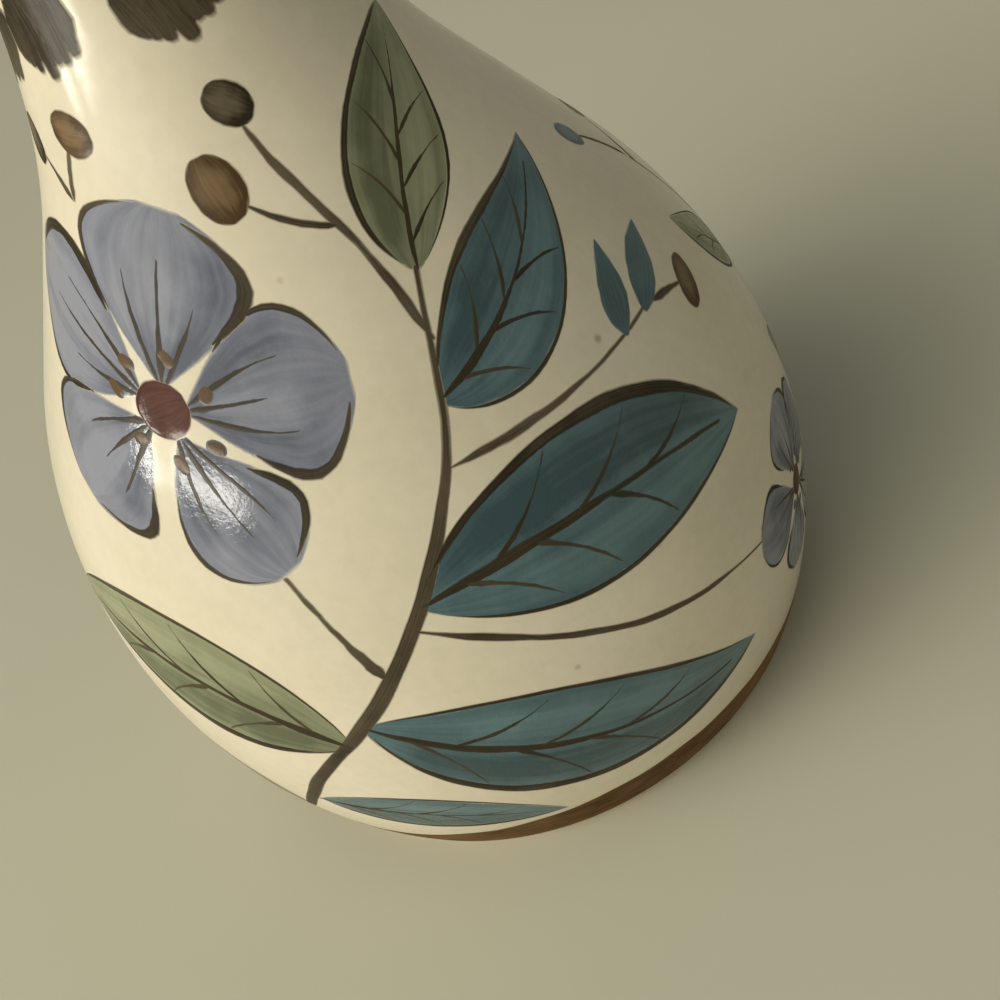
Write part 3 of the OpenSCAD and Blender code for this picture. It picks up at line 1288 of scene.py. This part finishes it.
class BUDVASE_OT_neck_dabs(bpy.types.Operator):
    """Dab brown slip round the base of the neck"""

    bl_idname = "bud_vase.neck_dabs"
    bl_label = "Neck Dabs"

    # Hairs of the brush in one dab, and their spacing and half width as shares of its radius
    HAIRS = 9
    SPACING = 0.32
    HAIR = 0.56

    def execute(self, context):
        s = sizes()
        outline = Outline(s)
        name = "brushed_neck_dabs"
        dab = self.dab(s.dab_radius / MM).mesh(name)
        dab.attributes.remove(dab.attributes["anchor_angle"])
        dabs = place(name, dab)
        path = wall_path(outline)
        values = {
            "Wall Path": path,
            "Count": s.dab_count,
            "Distance": outline.find(s.dab_height),
            "Shift": 1.2 * MM,
            "Turn": 0.22,
            "Stray": 0.16,
            "Seed": 5,
            "Finish": slip_finish("umber"),
        }
        shade(run_tree(dabs, dabbing_tree(), values), PAINT_EDGE)
        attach(dabs, BODY)
        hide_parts("neck_dabs")
        drop(path)
        return {"FINISHED"}

    def dab(self, r):
        """One dab: strokes of the brush's hairs side by side, longest in the middle."""
        brush = Brush()
        vary = random.Random(11).uniform
        for k in range(self.HAIRS):
            out = k - self.HAIRS // 2
            across = out * r * self.SPACING
            droop = 1.0 - 0.025 * out**2
            rise = r * vary(1.1, 1.4) * droop
            fall = -r * vary(1.2, 1.5) * droop
            spine = bowed((across, rise), (across + vary(-0.5, 0.5), fall), vary(-0.08, 0.08))
            tone = vary(0.0, 0.28)
            width = round_width(r * self.HAIR)
            brush.stroke((0.0, 0.0), spine, width, lift=DAB_LIFT, fray=0.22, soft=0.7, tone=tone)
        return brush


class BUDVASE_OT_painted_spray(bpy.types.Operator):
    """Paint leaves, blossoms, berries and stems round the wall"""

    bl_idname = "bud_vase.painted_spray"
    bl_label = "Painted Spray"

    def execute(self, context):
        brushes = {name: Brush() for name in PAINT_NAMES}
        back = FRONT + math.pi
        right, left = FRONT + math.radians(92.5), FRONT - math.radians(92.0)
        paint_spray(Spray(brushes, turn=FRONT, distance=55.0, seed=3))
        paint_spray(Spray(brushes, turn=back, distance=54.0, seed=8, flip=-1.0, grow=0.94))
        paint_sprig(Spray(brushes, turn=right, distance=52.0, seed=14))
        paint_sprig(Spray(brushes, turn=left, distance=52.0, seed=21, flip=-1.0))
        path = wall_path(Outline(sizes()))
        for name, brush in brushes.items():
            piece = lay(PAINT_NAMES[name], brush, path, slip_finish(name))
        drop(path)
        return {"FINISHED"}


class BUDVASE_OT_stage(bpy.types.Operator):
    """Set out the floor, the light and the camera"""

    bl_idname = "bud_vase.stage"
    bl_label = "Floor, Light and Camera"

    FLOOR_HALF = 3.0
    FLOOR_TINTS = ((0.50, 0.47, 0.36, 1.0), (0.56, 0.53, 0.41, 1.0))

    # Light of the room, and of its brighter sides: direction, tightness and colour
    ROOM = (0.060, 0.068, 0.070, 1.0)
    SIDES = (
        ((0.26, 0.95, 0.17), 2.0, (0.34, 0.36, 0.34, 1.0)),
        ((0.77, -0.64, 0.0), 4.8, (0.80, 0.80, 0.68, 1.0)),
        ((-0.864, -0.216, 0.454), 8.0, (5.30, 5.20, 4.42, 1.0)),
    )
    # What the camera sees behind the vase, and how much of it the glaze mirrors
    BACKDROP = (0.36, 0.34, 0.27, 1.0)
    MIRRORED = 0.8
    # Small panes for the sparkle on the glaze: name, place, size and watts
    PANES = (
        ("pane_near", (-0.47, -0.10, 0.234), (0.17, 0.055), 0.48),
        ("pane_far", (-0.47, 0.055, 0.207), (0.06, 0.04), 0.15),
    )
    PANE_AIM = (-0.03, -0.03, 0.08)
    PANE_TINT = (1.0, 0.96, 0.86)

    CAMERA_SPOT = (0.0, -0.11795, 0.12434)
    YAW = math.radians(13.319)
    PITCH = math.radians(49.387)
    ROLL = math.radians(-21.0)
    SENSOR = 36.0
    LENS = 34.75
    SHIFT = (-0.2, 0.08)
    NEAREST = 0.005

    def execute(self, context):
        context.scene.view_settings.view_transform = "Standard"
        self.floor()
        self.room(context.scene)
        for pane in self.PANES:
            self.lamp(*pane)
        self.camera(context.scene)
        return {"FINISHED"}

    def floor(self):
        mesh = bpy.data.meshes.new("floor")
        half = self.FLOOR_HALF
        corners = [(-half, -half, 0), (half, -half, 0), (half, half, 0), (-half, half, 0)]
        mesh.from_pydata(corners, [], [(0, 1, 2, 3)])
        material, tree, shader = new_finish("pale_floor")
        cloud = noise(tree, object_spot(tree), scale=6.0, detail=3.0)
        tree.links.new(mixed(tree, cloud, *self.FLOOR_TINTS), shader.inputs["Base Color"])
        shader.inputs["Roughness"].default_value = 0.7
        mesh.materials.append(material)
        place("floor", mesh)

    def room(self, scene):
        """A soft room, warmest and brightest low on the left."""
        world = bpy.data.worlds.new("soft_room")
        world.use_nodes = True
        tree = world.node_tree
        look = add(tree, "ShaderNodeTexCoord").outputs["Generated"]
        light = self.ROOM
        for direction, tightness, tint in self.SIDES:
            aim = Vector(direction).normalized()
            facing = add(tree, "ShaderNodeVectorMath", {0: look, 1: aim}, operation="DOT_PRODUCT")
            ahead = maths(tree, "MAXIMUM", facing.outputs["Value"], 0.0)
            light = mixed(tree, maths(tree, "POWER", ahead, tightness), light, tint)
        rays = add(tree, "ShaderNodeLightPath").outputs
        mirrored = maths(tree, "MULTIPLY", rays["Is Glossy Ray"], self.MIRRORED)
        seen = maths(tree, "MAXIMUM", rays["Is Camera Ray"], mirrored)
        shown = mixed(tree, seen, light, self.BACKDROP)
        tree.links.new(shown, tree.nodes["Background"].inputs["Color"])
        scene.world = world

    def lamp(self, name, spot, size, watts):
        data = bpy.data.lights.new(name, "AREA")
        data.shape = "RECTANGLE"
        data.size, data.size_y = size
        data.energy = watts
        data.color = self.PANE_TINT
        obj = place(name, data)
        obj.location = spot
        obj.rotation_euler = (Vector(self.PANE_AIM) - Vector(spot)).to_track_quat("-Z", "Y").to_euler()

    def camera(self, scene):
        data = bpy.data.cameras.new("camera")
        data.sensor_width = self.SENSOR
        data.lens = self.LENS
        data.shift_x, data.shift_y = self.SHIFT
        data.clip_start = self.NEAREST
        obj = place("camera", data)
        out = math.cos(self.PITCH)
        ahead = Vector((math.sin(self.YAW) * out, math.cos(self.YAW) * out, -math.sin(self.PITCH)))
        level = Vector((math.cos(self.YAW), -math.sin(self.YAW), 0.0))
        upright = level.cross(ahead)
        right = level * math.cos(self.ROLL) + upright * math.sin(self.ROLL)
        up = upright * math.cos(self.ROLL) - level * math.sin(self.ROLL)
        turn = Matrix((right, up, -ahead)).transposed().to_4x4()
        obj.matrix_world = Matrix.Translation(self.CAMERA_SPOT) @ turn
        scene.camera = obj


class BUDVASE_PT_panel(bpy.types.Panel):
    """Lists the pieces of the vase"""

    bl_idname = "BUDVASE_PT_panel"
    bl_label = "Bud Vase"
    bl_space_type = "VIEW_3D"
    bl_region_type = "UI"
    bl_category = "Bud Vase"

    def draw(self, context):
        for step in STEPS:
            self.layout.operator(step.bl_idname)


STEPS = (
    BUDVASE_OT_foot,
    BUDVASE_OT_walls,
    BUDVASE_OT_foot_band,
    BUDVASE_OT_neck_dabs,
    BUDVASE_OT_painted_spray,
    BUDVASE_OT_stage,
)
CLASSES = (BudVaseSizes, BudVaseColours, *STEPS, BUDVASE_PT_panel)


def register():
    for item in CLASSES:
        bpy.utils.register_class(item)
    bpy.types.Scene.bud_vase_sizes = bpy.props.PointerProperty(type=BudVaseSizes)
    bpy.types.Scene.bud_vase_colours = bpy.props.PointerProperty(type=BudVaseColours)


def unregister():
    del bpy.types.Scene.bud_vase_colours
    del bpy.types.Scene.bud_vase_sizes
    for item in reversed(CLASSES):
        bpy.utils.unregister_class(item)


def main():
    register()
    bpy.ops.bud_vase.foot()
    bpy.ops.bud_vase.walls()
    bpy.ops.bud_vase.foot_band()
    bpy.ops.bud_vase.neck_dabs()
    bpy.ops.bud_vase.painted_spray()
    bpy.ops.bud_vase.stage()


if __name__ == "__main__":
    main()
